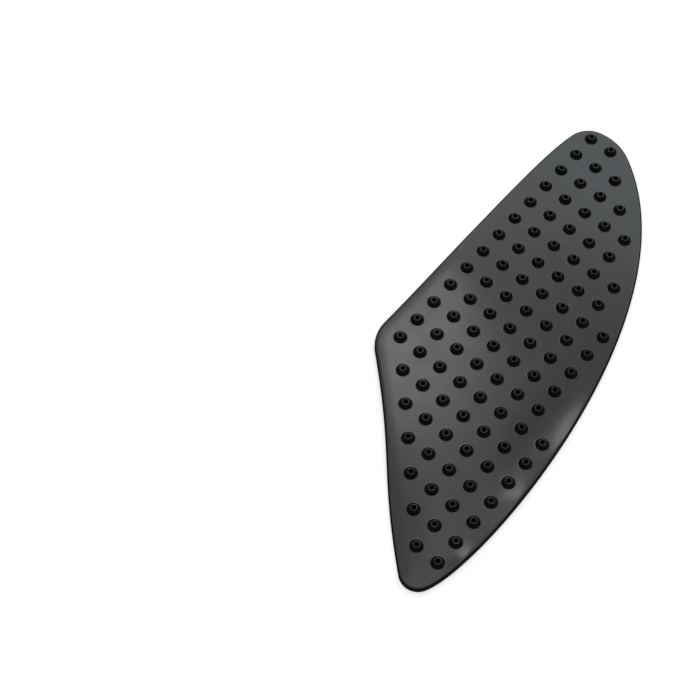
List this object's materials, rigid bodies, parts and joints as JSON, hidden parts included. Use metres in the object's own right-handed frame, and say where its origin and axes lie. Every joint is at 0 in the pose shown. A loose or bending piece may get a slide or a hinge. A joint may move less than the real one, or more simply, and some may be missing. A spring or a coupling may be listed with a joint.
{
  "type": "motorcycle tank pad",
  "caption": "Side pad of black rubber for a motorcycle fuel tank: a thin curved-edge sheet with straight columns of small hollow-topped studs for knee grip.",
  "frame": {"origin": "on the flat adhesive back, under the middle of the bounding box", "axes": "+Z out of the studded face, +Y along the columns of studs towards the rounded nose, +X from the straight front edge towards the curved flank"},
  "size_m": [0.0932, 0.2194, 0.0045],
  "materials": {
    "black_rubber": "satin moulded"
  },
  "bodies": {
    "root": {"tank_pad": "black_rubber"}
  },
  "joints": []
}
